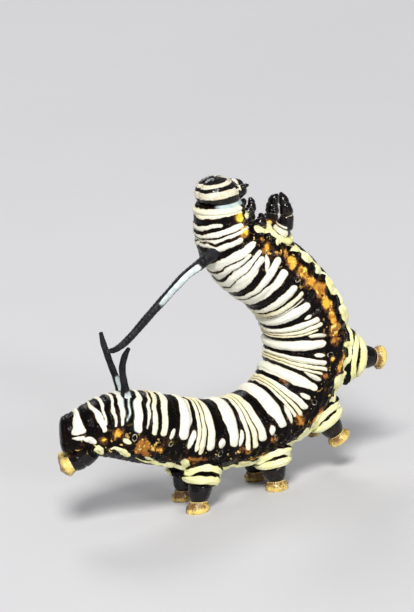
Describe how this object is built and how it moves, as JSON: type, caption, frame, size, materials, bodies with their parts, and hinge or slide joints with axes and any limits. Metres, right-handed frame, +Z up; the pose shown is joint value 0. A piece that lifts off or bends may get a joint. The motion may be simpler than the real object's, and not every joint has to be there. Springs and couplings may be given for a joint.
{
  "type": "milkweed butterfly larva",
  "caption": "Life-size banded larva of the monarch kind, body arched in a C with its head reared, tail raised and long fleshy filaments, standing on its prolegs.",
  "frame": {"origin": "middle of the bounding box, on the floor", "axes": "+Z up; +X from the raised tail towards the belly side of the bend; the animal's right side faces -Y"},
  "size_m": [0.0314, 0.0074, 0.0278],
  "materials": {
    "body_skin": "satin cream skin crossed by glossy black bands, with orange and yellow spots low on the sides",
    "proleg_skin": "satin cream folds with a glossy black plate and a yellow foot",
    "filament_skin": "satin black with a pale blue-white streak",
    "black_horn": "glossy black horn"
  },
  "bodies": {
    "root": {"abdomen_1": "body_skin", "abdomen_10": "body_skin", "abdomen_2": "body_skin", "abdomen_3": "body_skin", "abdomen_4": "body_skin", "abdomen_5": "body_skin", "abdomen_6": "body_skin", "abdomen_7": "body_skin", "abdomen_8": "body_skin", "abdomen_9": "body_skin", "anal_proleg_left": "proleg_skin", "anal_proleg_right": "proleg_skin", "antenna_left": "black_horn", "antenna_right": "black_horn", "filament_front_left": "filament_skin", "filament_front_right": "filament_skin", "filament_rear_left": "filament_skin", "filament_rear_right": "filament_skin", "head": "black_horn", "leg_thorax_1_left": "black_horn", "leg_thorax_1_right": "black_horn", "leg_thorax_2_left": "black_horn", "leg_thorax_2_right": "black_horn", "leg_thorax_3_left": "black_horn", "leg_thorax_3_right": "black_horn", "mouthparts": "black_horn", "proleg_abdomen_3_left": "proleg_skin", "proleg_abdomen_3_right": "proleg_skin", "proleg_abdomen_4_left": "proleg_skin", "proleg_abdomen_4_right": "proleg_skin", "proleg_abdomen_5_left": "proleg_skin", "proleg_abdomen_5_right": "proleg_skin", "proleg_abdomen_6_left": "proleg_skin", "proleg_abdomen_6_right": "proleg_skin", "thorax_1": "body_skin", "thorax_2": "body_skin", "thorax_3": "body_skin"}
  },
  "joints": []
}
